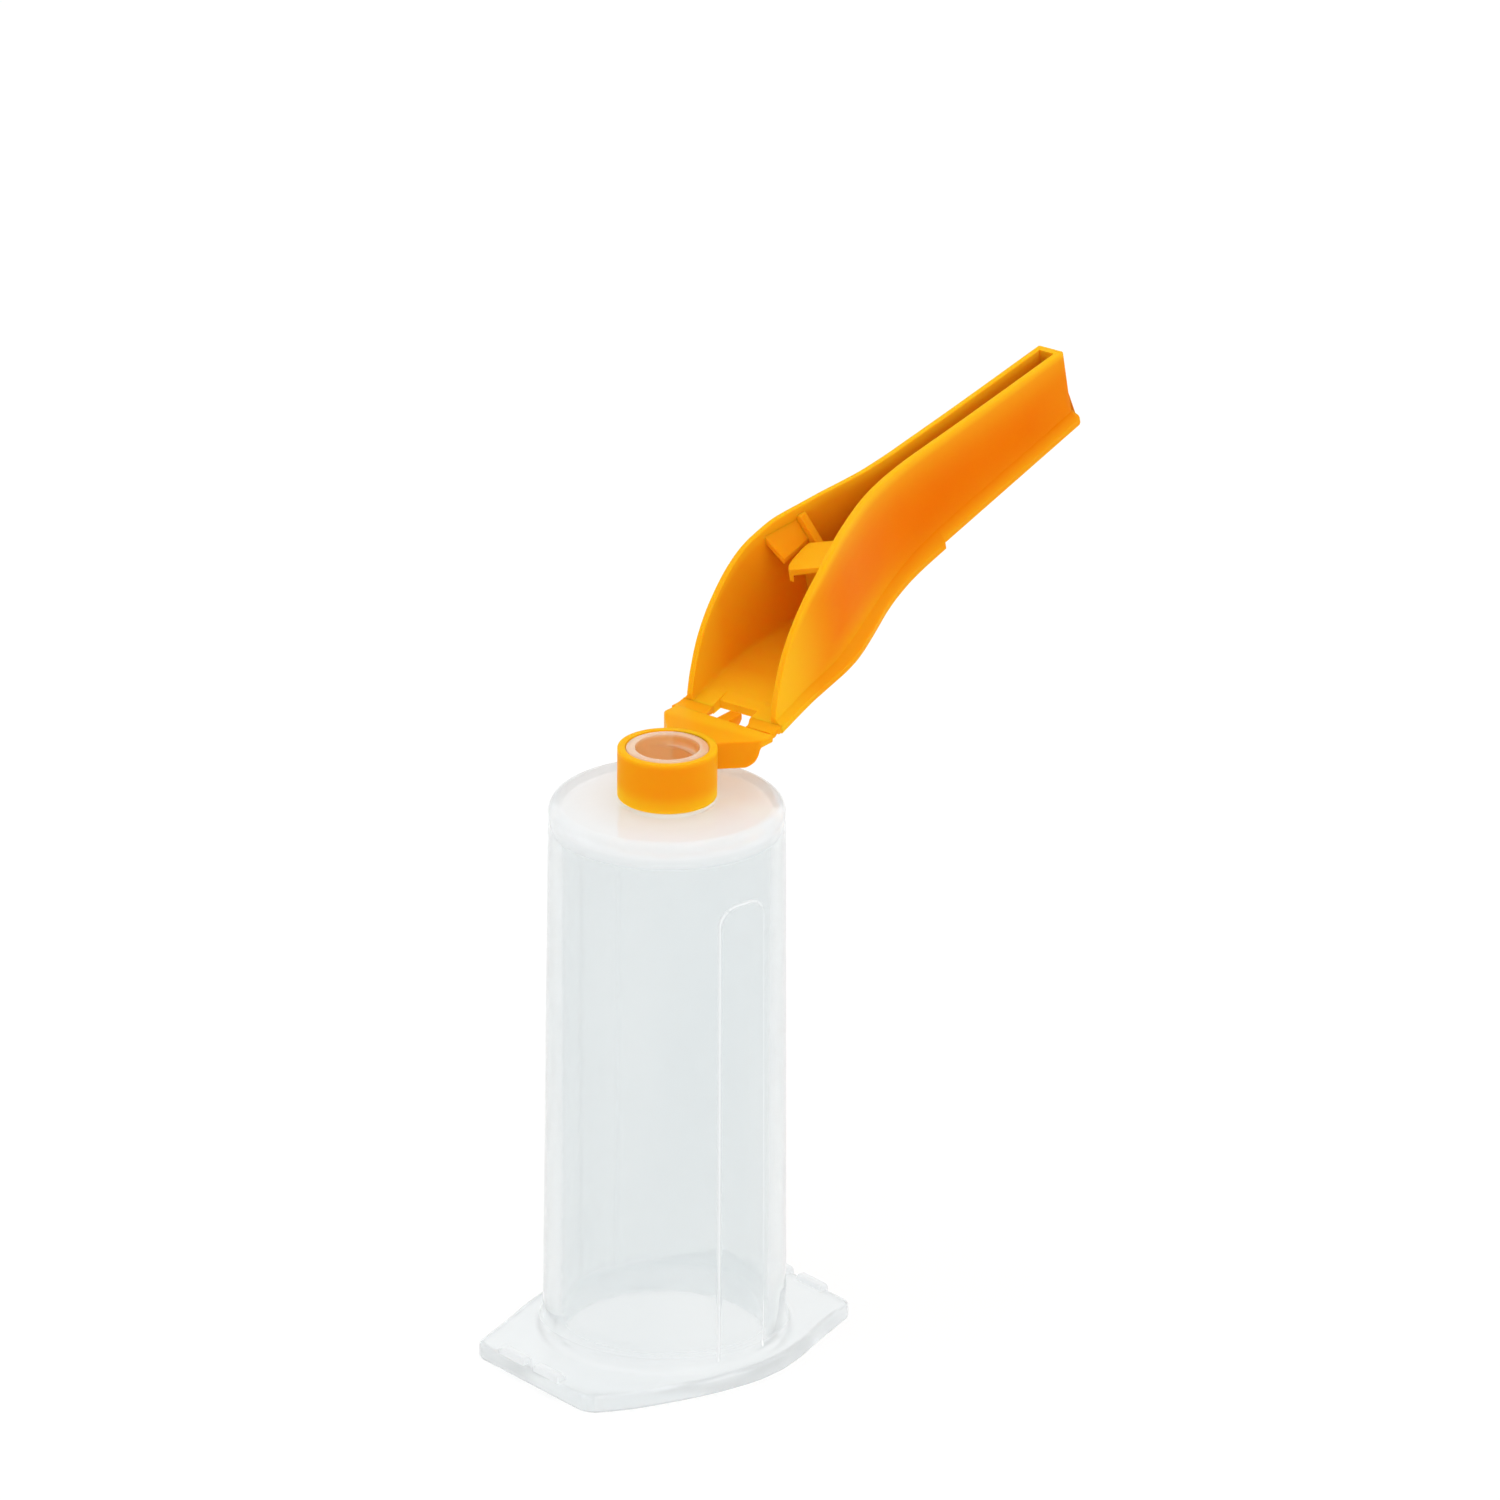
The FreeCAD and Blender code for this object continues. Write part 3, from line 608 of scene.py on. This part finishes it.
def neck_line(angle):
    """The section over the top wall, up the neck with its snap bead and down the threaded socket."""
    line = [(6.6, BARREL_TOP), (BOSS_RADIUS + 0.35, BARREL_TOP), (BOSS_RADIUS + 0.1, BARREL_TOP + 0.05),
            (BOSS_RADIUS, BARREL_TOP + 0.15), (BOSS_RADIUS - 0.06, BOSS_TOP - 0.04),
            (BOSS_RADIUS - 0.12, BOSS_TOP), (NECK_RADIUS, BOSS_TOP), (NECK_RADIUS, 51.15),
            (NECK_RADIUS + NECK_BEAD, 51.5), (NECK_RADIUS + NECK_BEAD, 51.7), (NECK_RADIUS, 52.05),
            (NECK_RADIUS, NECK_TOP - 0.22), (NECK_RADIUS - 0.06, NECK_TOP - 0.06),
            (NECK_RADIUS - 0.22, NECK_TOP), (THREAD_ROOT + 0.25, NECK_TOP),
            (THREAD_ROOT + 0.07, NECK_TOP - 0.06), (THREAD_ROOT, NECK_TOP - 0.25)]
    for z in np.arange(NECK_TOP - 0.4, CEILING + 0.6, -0.13):
        turns = (z - THREAD_START) / THREAD_PITCH - angle / WHOLE_TURN
        off = abs(turns - round(turns)) * THREAD_PITCH
        ridge = 1.0 - smoothstep(0.12, 0.55, off)
        ridge *= min(1.0, max(0.0, (NECK_TOP - 0.45 - z) / 0.5))
        ridge *= smoothstep(NECK_TOP - 0.5, NECK_TOP - 1.0, z)
        line.append((SOCKET + THREAD_DEPTH * (1 - ridge), float(z)))
    line += [(SOCKET, CEILING + 0.3), (SOCKET + 0.06, CEILING + 0.1), (SOCKET + 0.3, CEILING)]
    return line


def bore_line():
    """The section under the top wall, down the bore and round the mouth, short of the first point."""
    line = [(6.0, CEILING)]
    line += [(BORE - INNER_SHOULDER + INNER_SHOULDER * s, CEILING - INNER_SHOULDER + INNER_SHOULDER * c)
             for s, c in quarter_turn(6)]
    line += [(BORE, z) for z in np.arange(CEILING - 2.0, 2.0, -1.5)]
    line += [(BORE + MOUTH_ROUND - MOUTH_ROUND * c, MOUTH_ROUND - MOUTH_ROUND * s)
             for s, c in quarter_turn(5)[:-1]]
    return line


def make_holder():
    """Barrel, closed end, neck and flange as one moulding, skinned round the axis."""
    reach, corners = flange_reach()
    heights = holder_heights()
    sections = []
    for angle in holder_angles(corners):
        line = flange_line(reach(angle)) + barrel_line(angle, heights) + neck_line(angle) + bore_line()
        c, s = math.cos(angle + FLANGE_TURN), math.sin(angle + FLANGE_TURN)
        sections.append([(r * c, r * s, z) for r, z in line])
    points, faces = loft(sections, loop=True)
    holder = clear_piece("holder_moulding", points, faces, holder_haze_and_edge_lines, sharp=50)
    # Painted orange glow of the collar on the neck.
    store_share(holder, "painted_collar_glow", holder_painted_collar_glow)
    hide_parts("barrel", "top_wall", "threaded_neck", "finger_flange", "barrel_panel_front",
                "barrel_panel_back")
    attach(holder, "holder")


def make_grip_ribs():
    """The low rounded ribs across the flange's ends."""
    base, top = FLANGE - 0.12, FLANGE + GRIP_RIB_HEIGHT
    for name, end, side in (("right_front", 1, 1), ("right_back", 1, -1),
                            ("left_front", -1, 1), ("left_back", -1, -1)):
        low, high = sorted(side * y for y in GRIP_RIB_ACROSS)
        near, far = sorted(end * x for x in GRIP_RIB_ALONG)
        sections = []
        for y, shrink in ((low, 0.22), (low + 0.07, 0.07), (low + 0.22, 0.0), (high - 0.22, 0.0),
                          (high - 0.07, 0.07), (high, 0.22)):
            outline = rounded([(near, base, 0), (far, base, 0), (far, top - shrink, GRIP_RIB_ROUND),
                               (near, top - shrink, GRIP_RIB_ROUND)])
            sections.append([(*turned(x, y, FLANGE_TURN), z) for x, z in outline])
        points, faces = loft(sections)
        rib = clear_piece("grip_rib_" + name + "_moulded", points, faces, lambda p: 0.8)
        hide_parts("grip_rib_" + name)
        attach(rib, "holder")


# ------------------------------------------------------------------ collar and arm
def make_collar():
    """The ring that turns on the neck, with a groove inside for the neck's bead."""
    wall = [(COLLAR_OUTER, COLLAR_FOOT + 0.6 + 0.2 * k, 0) for k in range(18)]
    profile = rounded([(COLLAR_INNER, COLLAR_FOOT, 0.1), (COLLAR_OUTER, COLLAR_FOOT, 0.5), *wall,
                       (COLLAR_OUTER, NECK_TOP, 0.14), (COLLAR_INNER, NECK_TOP, 0.12),
                       (COLLAR_INNER, 52.15, 0), (COLLAR_INNER + COLLAR_GROOVE, 51.6, 0),
                       (COLLAR_INNER, 51.05, 0)], 5)
    sections = []
    for k in range(COLLAR_STEPS):
        angle = WHOLE_TURN * k / COLLAR_STEPS
        sections.append([(r * math.cos(angle), r * math.sin(angle), z) for r, z in profile])

    # Painted glow: the ring is painted paler and yellower at its foot and top edge, standing in for light
    # shining through it.
    def painted_glow(p):
        foot = 0.52 * (1 - smoothstep(0.0, 1.9, p.z - COLLAR_FOOT))
        rim = 0.4 * smoothstep(NECK_TOP - 0.4, NECK_TOP - 0.05, p.z)
        return 0.48 + foot + rim

    points, faces = loft(sections, loop=True)
    ring = orange_piece("collar_ring_moulded", points, faces, painted_glow)
    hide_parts("collar_ring")
    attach(ring, "collar")


def make_arm():
    """The arm: it grows out of the ring, widens, and thins to a plate at the hinge."""
    half_width = smooth_through([(ARM_START, 2.55), (3.6, 3.05), (4.6, 4.0), (5.5, 4.9), (5.85, 5.14),
                                 (6.1, ARM_HALF), (ARM_END, ARM_HALF)])
    underside = smooth_through([(ARM_START, 51.8), (4.9, 51.8), (5.5, 52.2), (5.75, 52.7), (5.95, 53.3),
                                (6.15, 53.45), (ARM_END, 53.5)])
    end_round = 0.15
    along = [*np.linspace(ARM_START, ARM_MERGED, 12), *np.linspace(5.1, 6.3, 22)]
    along += [6.8, 7.3, 7.5, 7.6, ARM_END]
    sections = []
    for s in along:
        shrink = 0.14 * max(0.0, (s - ARM_END + end_round) / end_round) ** 2
        sunk = ARM_SUNK * (1 - smoothstep(3.1, 3.5, s))
        half, low, high = half_width(s) - shrink, underside(s) + shrink, NECK_TOP - shrink - sunk
        near = 1.0 - smoothstep(ARM_START, ARM_MERGED, s)
        section = []
        for y, z in rounded([(-half, low, 0.22), (0, low, 0), (half, low, 0.22), (half, high, 0.16),
                             (0, high, 0), (-half, high, 0.16)]):
            wrap = math.sqrt(ARM_ROOT_RADIUS ** 2 - min(abs(y), 3.6) ** 2)
            x = s + near * max(wrap - ARM_START, 0.0)
            section.append((*turned(x, y, ARM_TWIST), z))
        sections.append(section)
    points, faces = loft(sections)
    # Painted glow: paler towards the hinge plate, standing in for light shining through it.
    arm = orange_piece("hinge_arm_moulded", points, faces, lambda p: 0.55 + 0.25 * smoothstep(5.2, 6.4, p.x))
    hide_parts("hinge_arm")
    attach(arm, "collar")


def make_stop_tab():
    """The tab between the living hinges; its sides are softened by shrinking its outline."""
    outline = rounded([(ARM_END - 0.4, 54.1, 0), (ARM_END - 0.4, 53.4, 0), (ARM_END + 0.1, 53.2, 0.1),
                       (9.45, 53.2, 0.25), (TAB_END, 53.6, 0.15), (TAB_END, 54.1, 0.15)])
    sections = []
    for y, shrink in ((-0.6, 0.1), (-0.56, 0.03), (-0.47, 0.0), (0.47, 0.0), (0.56, 0.03), (0.6, 0.1)):
        section = []
        for x, z in outline:
            out = Vector((x, z)) - TAB_MIDDLE
            out *= 1 - shrink / max(out.length, 0.3)
            section.append((TAB_MIDDLE.x + out.x, y, TAB_MIDDLE.y + out.y))
        sections.append(section)
    points, faces = loft(sections)
    # Painted glow: a fixed paler share, standing in for light shining through the tab.
    tab = orange_piece("stop_tab_moulded", points, faces, lambda p: 0.45)
    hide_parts("stop_tab")
    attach(tab, "collar")


def bend_at(along):
    """How far the living hinge's web has turned at a distance along it from the axis."""
    return SHIELD_LEAN * smoothstep(-BEND_REACH, BEND_REACH, along)


def to_bend(along, steps=40):
    """The middle of the web at a distance along it, seen from the side (x, z)."""
    x, z = HINGE_X, HINGE_Z
    for k in range(steps):
        bend = bend_at(along * (k + 0.5) / steps)
        x += along / steps * math.cos(bend)
        z += along / steps * math.sin(bend)
    return x, z


def make_straps():
    """The two living hinges; each bends from the arm to the shield's back."""
    for name, side, near_edge, far_edge in (("left", 1, 1.65, 2.0), ("right", -1, 2.55, 1.9)):
        sections = []
        for along in np.linspace(STRAP_START, STRAP_FINISH, 27):
            bend = bend_at(along)
            x, z = to_bend(along)
            low = STRAP_LOW + STRAP_GROOVE * math.exp(-(along / 0.18) ** 2)
            inner = near_edge + (far_edge - near_edge) * smoothstep(STRAP_START, STRAP_FINISH, along)
            outline = rounded([(inner, low, 0.08), (STRAP_OUTER, low, 0.08), (STRAP_OUTER, STRAP_TOP, 0.1),
                               (inner, STRAP_TOP, 0.05)], 3)
            sections.append([(x - v * math.sin(bend), side * y, z + v * math.cos(bend)) for y, v in outline])
        points, faces = loft(sections)
        # Painted glow: a fixed paler share, standing in for light shining through the film.
        strap = orange_piece("hinge_strap_" + name + "_film", points, faces, lambda p: 0.65)
        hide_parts("hinge_strap_" + name)
        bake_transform(strap)


# ------------------------------------------------------------------ shield
def shield_section(u):
    """The shield's cross-section at u: back, lips, walls and floor, as two halves."""
    narrow = smoothstep(STEP - 0.06, STEP + 0.06, u)
    sag = 0.42 * max(0.0, 1 - (u - START) / 5.0) ** 1.3
    lip = lip_at(min(u, STEP)) * (1 - narrow) + SPINE_HALF * narrow
    low = -0.2 + 0.4 * narrow - sag
    lip_top = 0.42 + 0.38 * narrow - sag
    floor = 0.6 + 0.4 * narrow - sag
    out, rim = wall_at(u), rim_at(u)
    inner = out - WALL
    shoulder = min(0.95 + 0.75 * smoothstep(18.0, 30.0, u) - sag, rim - 0.05)
    bed = min(WINDOW, 0.55 * inner)
    fillet = min(0.35, 0.4 * max(rim - floor, 0.01))
    lip_round, rim_round = 0.14, 0.13
    outside = [(-out, shoulder + (rim - shoulder) * k / 9, 0) for k in range(1, 9)]
    inside = [(-inner, rim + (floor - rim) * k / 9, 0) for k in range(1, 9)]
    right = [(-bed, low, 0), (-bed - 0.03, low, 0), (-lip, low, lip_round), (-lip, lip_top, lip_round),
             (-out - 0.02, shoulder, 0.12), *outside, (-out, rim, rim_round), (-inner, rim, rim_round),
             *inside, (-inner + 0.02, floor, fillet), (-bed - 0.03, floor, 0), (-bed, floor, 0)]
    left = [(-y, v, r) for y, v, r in right[::-1]]
    return right, left


def closed_section(u, filled=False):
    """The whole cross-section; filled raises the floor to the rim, as in the end wall."""
    right, left = shield_section(u)
    line = rounded(right + left)
    if filled:
        inner, rim = wall_at(u) - WALL, rim_at(u)
        line = [(y, rim if abs(y) < inner + 0.02 and v > 0.9 else v) for y, v in line]
    return line


def end_faces(first, count):
    """The faces that close an end: both halves and, set back between them, the window's edge."""
    half = count // 2
    right = list(range(1, half - 1))
    left = list(range(half + 1, count - 1))
    middle = [(0, 1, half - 2, half - 1), (0, half - 1, half, count - 1),
              (half, half + 1, count - 2, count - 1)]
    return [tuple(first + i for i in face) for face in (right, left, *middle)]


def open_sections():
    """The shield's sections (u, y, v) up to its end wall; the back starts later at the windows."""
    along = [START, 0.68, 0.75, 0.85, 1.0, 1.15, 1.3, 1.5, 1.75, 2.0, 2.3, 2.7, 3.1]
    along += list(np.arange(3.6, STEP - 0.3, 0.5))
    along += [STEP - 0.15, *np.linspace(STEP - 0.06, STEP + 0.06, 7), STEP + 0.15]
    along += list(np.arange(STEP + 0.8, LENGTH - END_WALL - 0.4, 1.2))
    along += [LENGTH - END_WALL - 0.2, LENGTH - END_WALL]
    sections = []
    for u in along:
        set_back = 1 - smoothstep(START, WINDOW_DEPTH, u)
        sections.append([(u + set_back * (abs(y) < WINDOW + 0.01 and v < 0.65), y, v)
                         for y, v in closed_section(u)])
    return sections


def end_wall_sections():
    """The sections through the end wall, whose lower edge reaches out as a lip."""
    end = LENGTH - END_WALL
    sections = []
    for u, inset in ((end + 0.001, 0.0), (LENGTH - 0.2, 0.0), (LENGTH - 0.06, 0.06), (LENGTH, 0.2)):
        section = []
        for y, v in closed_section(u, filled=True):
            lip = LIP_REACH * (1 - smoothstep(0.9, 1.4, v)) * smoothstep(end, LENGTH, u)
            y = math.copysign(max(abs(y) - inset, 0.0), y) if y else y
            v = v + inset if v < 4.0 else v - inset
            section.append((u + lip, y, v))
        sections.append(section)
    return sections


def shield_painted_glow(p):
    """How much painted glow and highlight the shield gets, standing in for light shining through the
    plastic: most at the rim, the hinge, the lips and inside the channel.
    """
    u, v = from_shield(p)
    below = rim_at(u) - v
    # Painted glow and highlight along the rim; below, painted glow along the lower edge near the hinge.
    rim = 0.45 * math.exp(-((below / 2.2) ** 2)) + 0.5 * smoothstep(0.4, 0.1, below)
    foot = 0.5 * math.exp(-(((v - 0.6) / 1.6) ** 2)) * (1 - 0.6 * smoothstep(16.0, 26.0, u))
    hinge = 1 - smoothstep(1.0, 13.0, u)
    # Painted glow inside the channel, lifting the shade that the walls cast there.
    inside = 0.6 if abs(p.y) < wall_at(u) - 0.4 and v > 0.1 else 0.0
    lip = 0.55 * smoothstep(0.04, 0.25, abs(p.y) - wall_at(u))
    tip = 0.15 * smoothstep(42.0, 50.0, u)
    return min(max(rim, hinge, lip, tip, foot, inside), 1.0)


def make_shield():
    """Back, walls, spine and end wall as one moulding, skinned along the shield."""
    sections = open_sections() + end_wall_sections()
    count = len(sections[0])
    points, faces = loft([[to_shield(p) for p in section] for section in sections], caps=False)
    faces += end_faces(0, count) + end_faces((len(sections) - 1) * count, count)
    shield = orange_piece("shield_moulding", points, faces, shield_painted_glow, sharp=40)
    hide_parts("shield_back", "shield_spine", "shield_wall_left", "shield_wall_right",
                "shield_end_wall")
    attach(shield, "shield")


def make_lock_rib():
    """The rib across the channel, with a notch for the needle."""
    half = wall_at(16.1) - WALL + BURIED
    outline = rounded([(-half, 0.5, 0), (half, 0.5, 0), (half, 10.1, 0.15), (2.1, 10.15, 0.2),
                       (0.42, 7.2, 0.15), (-0.42, 7.2, 0.15), (-2.1, 10.15, 0.2), (-half, 10.1, 0.15)])
    points, faces = loft_along_shield((15.7, 16.5), lambda u: outline)
    # Painted glow: a fixed paler share, standing in for light shining through the rib.
    rib = orange_piece("lock_rib_moulded", points, faces, lambda p: 0.65)
    soften(rib)
    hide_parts("lock_rib")
    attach(rib, "shield")


def make_guide_ramp():
    """The fixed ramp on the left wall; its root follows the wall as the shield narrows."""
    def outline(u):
        root = wall_at(u) - WALL + BURIED
        return rounded([(1.6, 8.1, 0.12), (root, 9.95, 0), (root, 9.25, 0), (1.6, 7.4, 0.12)])

    points, faces = loft_along_shield((12.2, 13.1, 14.0, 14.9, 15.75), outline)
    # Painted glow: a fixed paler share, standing in for light shining through the ramp.
    guide = orange_piece("guide_ramp_moulded", points, faces, lambda p: 0.6)
    soften(guide)
    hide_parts("guide_ramp")
    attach(guide, "shield")


def catch_root(u):
    """Where the catch's bending line runs, from the middle."""
    return -(CATCH_ROOT_NEAR - (u - CATCH_NEAR) * CATCH_ROOT_TAPER)


def make_catch():
    """The sprung catch: a flap that slopes in from the right wall, with a hook at its tip."""
    tip_at = smooth_through([(CATCH_NEAR, 0.3), (11.6, 0.72), (12.7, 1.0), (14.75, 1.2), (CATCH_FAR, 1.15)])

    def outline(u):
        root, tip = catch_root(u), tip_at(u)
        return rounded([(root, 9.35, 0.1), (root, 8.85, 0.1), (tip - 0.5, 7.62, 0.1),
                        (tip - 0.45, 6.95, 0.12), (tip, 6.95, 0.15), (tip, 8.1, 0.2)])

    points, faces = loft_along_shield(np.linspace(CATCH_NEAR, CATCH_FAR, 15), outline)
    # Painted glow: a fixed paler share, standing in for light shining through the flap.
    flap = orange_piece("needle_catch_moulded", points, faces, lambda p: 0.75)
    soften(flap)
    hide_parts("needle_catch")
    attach(flap, "catch")


def make_catch_web():
    """The slender root that the catch bends at, from the wall to the flap."""
    def outline(u):
        wall = WALL - 0.15 - wall_at(u)
        edge = catch_root(u) + 0.15
        return rounded([(wall, 9.25, 0), (wall, 8.95, 0), (edge, 8.95, 0.05), (edge, 9.25, 0.05)], 3)

    points, faces = loft_along_shield((CATCH_NEAR + 0.1, CATCH_FAR - 0.1), outline)
    # Painted glow: a fixed paler share, standing in for light shining through the web.
    web = orange_piece("catch_web_film", points, faces, lambda p: 0.75)
    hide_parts("catch_web")
    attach(web, "shield")


# ------------------------------------------------------------------ studio
def make_studio():
    """A pale floor, an even white sky and three soft lamps."""
    mesh = bpy.data.meshes.new("floor")
    corners = [(-FLOOR_HALF, -FLOOR_HALF), (FLOOR_HALF, -FLOOR_HALF), (FLOOR_HALF, FLOOR_HALF),
               (-FLOOR_HALF, FLOOR_HALF)]
    mesh.from_pydata([(x, y, -FLOOR_DROP * MM) for x, y in corners], [], [(0, 1, 2, 3)])
    floor = bpy.data.objects.new("floor", mesh)
    bpy.context.scene.collection.objects.link(floor)
    floor.data.materials.append(floor_material())
    world = bpy.data.worlds.new("studio")
    bpy.context.scene.world = world
    world.use_nodes = True
    back = world.node_tree.nodes["Background"]
    back.inputs["Color"].default_value = (1.0, 1.0, 1.0, 1.0)
    back.inputs["Strength"].default_value = WORLD_LIGHT
    add_light("key", (-0.35, -0.75, 0.95), 1.0, 1.0)
    add_light("top", (0.1, 0.15, 1.2), 1.2, 2.0)
    add_light("side", (0.9, -0.2, 0.35), 0.8, 0.3)


def add_light(name, place, size, power):
    """A round soft lamp that points at the object; place and size in metres, power in watts."""
    light = bpy.data.lights.new(name, "AREA")
    light.shape = "DISK"
    light.size = size
    light.energy = power
    lamp = bpy.data.objects.new(name, light)
    bpy.context.scene.collection.objects.link(lamp)
    lamp.location = place
    lamp.rotation_euler = (LAMP_AIM - Vector(place)).to_track_quat("-Z", "Y").to_euler()


def make_camera():
    """The camera stands where the photograph was taken from."""
    data = bpy.data.cameras.new("camera")
    data.lens = CAMERA_LENS
    data.sensor_width = 36.0
    data.clip_end = 50.0
    camera = bpy.data.objects.new("camera", data)
    bpy.context.scene.collection.objects.link(camera)
    level = Vector((0, 0, 1)).cross(CAMERA_BACK).normalized()
    upright = CAMERA_BACK.cross(level)
    right = math.cos(CAMERA_ROLL) * level + math.sin(CAMERA_ROLL) * upright
    up = CAMERA_BACK.cross(right)
    turn = Matrix((right, up, CAMERA_BACK)).transposed().to_4x4()
    camera.matrix_world = Matrix.Translation(CAMERA_AIM + CAMERA_BACK * CAMERA_DISTANCE) @ turn
    bpy.context.scene.camera = camera


make_camera()
make_studio()
make_holder()
make_grip_ribs()
make_collar()
make_arm()
make_stop_tab()
make_straps()
make_shield()
make_lock_rib()
make_guide_ramp()
make_catch()
make_catch_web()
bpy.context.scene.view_settings.view_transform = "Standard"

bpy.context.view_layer.update()
